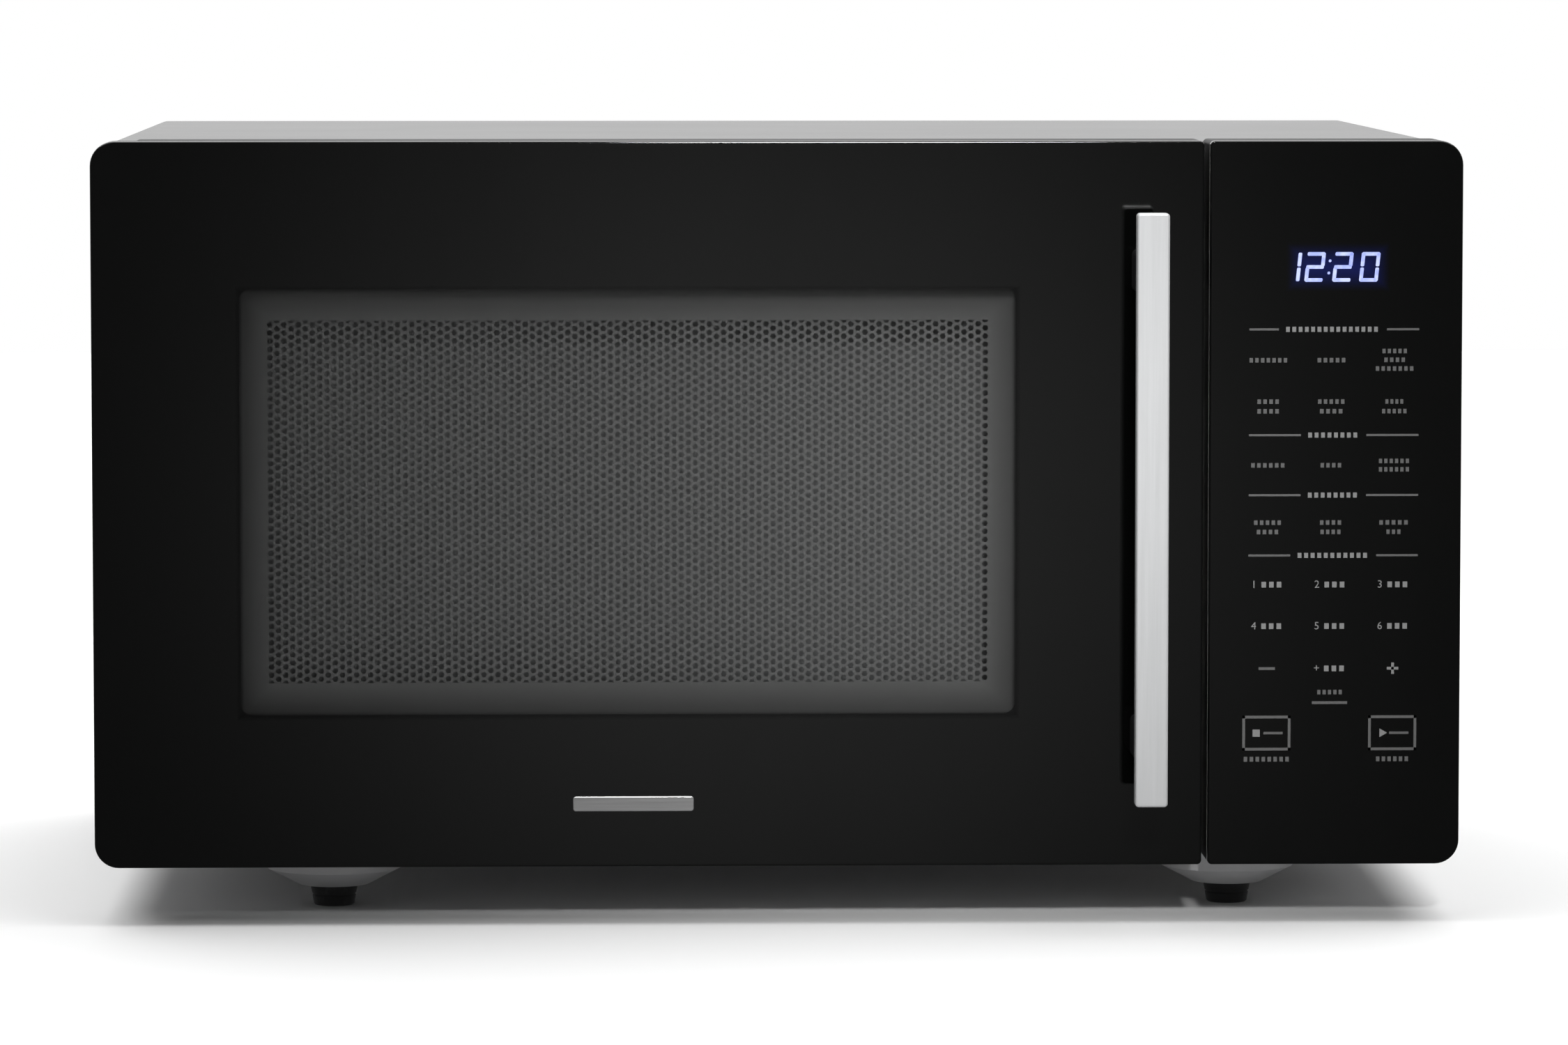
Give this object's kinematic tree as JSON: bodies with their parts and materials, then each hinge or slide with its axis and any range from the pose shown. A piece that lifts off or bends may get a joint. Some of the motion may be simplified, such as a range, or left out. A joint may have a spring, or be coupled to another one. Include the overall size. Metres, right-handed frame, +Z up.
{
  "type": "microwave oven",
  "caption": "Counter-top microwave oven with a black glass door hung on the left, a vertical bar handle, a touch control panel with a clock display, and a glass turntable.",
  "frame": {"origin": "middle of the overall footprint, on the worktop under the feet", "axes": "+X to the oven's right as seen from the front, +Y to the back, +Z up; the door faces -Y"},
  "size_m": [0.452, 0.378, 0.2597],
  "materials": {
    "case_paint": "semi-gloss black powder coat",
    "zinc_sheet": "zinc-coated steel sheet",
    "base_coat": "dull grey coated sheet",
    "black_rubber": "matt moulded rubber",
    "steel_screw": "zinc-plated screws and pins",
    "grey_enamel": "light grey enamel, satin",
    "mica": "pressed mica sheet",
    "clear_glass": "clear toughened glass",
    "ceramic_white": "cream thermoset",
    "black_glass": "black printed glass, polished",
    "black_plastic": "black moulded plastic, fine satin",
    "choke_plastic": "dark grey moulded plastic",
    "screen_metal": "satin grey steel, perforated in the window",
    "satin_aluminium": "satin anodised aluminium",
    "white_plastic": "natural white nylon and acetal",
    "roller_plastic": "heat-proof plastic",
    "display_dark": "display module, dark face",
    "green_board": "circuit board with green mask",
    "core_steel": "varnished laminations and windings",
    "black_part": "black component bodies",
    "magnetron_metal": "plated yoke and cooling fins",
    "can_aluminium": "drawn can",
    "blade_plastic": "translucent white fan blade",
    "duct_board": "fire-proof board",
    "lever_plastic": "amber acetal",
    "lead_silicone": "red silicone lead"
  },
  "bodies": {
    "oven": {"case_wrapper": "case_paint", "rear_panel": "case_paint", "hinge_upper": "zinc_sheet", "hinge_lower": "zinc_sheet", "capacitor_clamp": "zinc_sheet", "waveguide": "zinc_sheet", "turntable_motor": "zinc_sheet", "base_plate": "base_coat", "front_feet": "black_rubber", "rear_feet": "black_rubber", "cord_gland": "black_rubber", "case_screws": "steel_screw", "hinge_screws": "steel_screw", "motor_screws": "steel_screw", "cavity_box": "grey_enamel", "cavity_front": "grey_enamel", "waveguide_cover": "mica", "oven_lamp": "clear_glass", "lamp_holder": "ceramic_white", "thermal_cutout": "ceramic_white", "control_glass": "black_glass", "control_housing": "black_plastic", "fan_shroud": "choke_plastic", "switch_holder": "white_plastic", "relays": "white_plastic", "display_module": "display_dark", "control_board": "green_board", "noise_filter": "green_board", "hv_transformer": "core_steel", "control_transformer": "core_steel", "fan_motor": "core_steel", "buzzer": "black_part", "microswitches": "black_part", "hv_diode": "black_part", "magnetron": "magnetron_metal", "hv_capacitor": "can_aluminium", "air_duct": "duct_board", "hv_leads": "lead_silicone"},
    "door": {"door_glass": "black_glass", "door_frame": "black_plastic", "door_pan": "screen_metal", "door_screen": "screen_metal", "door_inner_panel": "clear_glass", "choke_cover": "choke_plastic", "handle_bar": "satin_aluminium", "handle_posts": "black_plastic", "handle_screws": "steel_screw", "door_badge": "satin_aluminium", "hinge_bushes": "white_plastic"},
    "latch": {"latch_hooks": "white_plastic", "latch_spring": "steel_screw"},
    "turntable": {"drive_coupler": "white_plastic", "motor_shaft": "steel_screw"},
    "tray": {"glass_tray": "clear_glass"},
    "hoop": {"roller_ring": "white_plastic"},
    "wheel_1": {"roller_1": "roller_plastic"},
    "wheel_2": {"roller_2": "roller_plastic"},
    "wheel_3": {"roller_3": "roller_plastic"},
    "fan": {"fan_blade": "blade_plastic"},
    "lever": {"interlock_lever": "lever_plastic"}
  },
  "joints": [
    {"name": "door_swing", "type": "hinge", "parent": "oven", "child": "door", "pos_m": [-0.217, -0.134, 0.1397], "axis": [0, 0, -1], "range_deg": [0, 105]},
    {"name": "latch_lift", "type": "slide", "parent": "door", "child": "latch", "axis": [0, 0, 1], "range_m": [0, 0.004], "stiffness_N_per_m": 400, "springref_m": -0.005, "deforming": ["latch_spring"]},
    {"name": "turntable_spin", "type": "hinge", "parent": "oven", "child": "turntable", "pos_m": [-0.0495, 0.026, 0.045], "axis": [0, 0, 1], "continuous": true},
    {"name": "tray_lift", "type": "slide", "parent": "turntable", "child": "tray", "axis": [0, 0, 1], "range_m": [0, 0.02]},
    {"name": "hoop_spin", "type": "hinge", "parent": "oven", "child": "hoop", "pos_m": [-0.0495, 0.026, 0.0485], "axis": [0, 0, 1], "continuous": true},
    {"name": "fan_spin", "type": "hinge", "parent": "oven", "child": "fan", "pos_m": [0.1665, 0.141, 0.1747], "axis": [0, 1, 0], "continuous": true},
    {"name": "lever_tilt", "type": "hinge", "parent": "oven", "child": "lever", "pos_m": [0.1249, -0.111, 0.0987], "axis": [1, 0, 0], "range_deg": [0, 8], "stiffness_Nm_per_rad": 0.02},
    {"name": "wheel_spin_1", "type": "hinge", "parent": "hoop", "child": "wheel_1", "pos_m": [-0.0495, 0.121, 0.0485], "axis": [0, 1, 0], "continuous": true},
    {"name": "wheel_spin_2", "type": "hinge", "parent": "hoop", "child": "wheel_2", "pos_m": [-0.13177, -0.0215, 0.0485], "axis": [-0.866, -0.5, 0], "continuous": true},
    {"name": "wheel_spin_3", "type": "hinge", "parent": "hoop", "child": "wheel_3", "pos_m": [0.03277, -0.0215, 0.0485], "axis": [0.866, -0.5, 0], "continuous": true}
  ],
  "couplings": [
    {"joint": "hoop_spin", "follows": "turntable_spin", "ratio": 0.5},
    {"joint": "wheel_spin_1", "follows": "turntable_spin", "ratio": -5.9375},
    {"joint": "wheel_spin_2", "follows": "turntable_spin", "ratio": -5.9375},
    {"joint": "wheel_spin_3", "follows": "turntable_spin", "ratio": -5.9375}
  ]
}
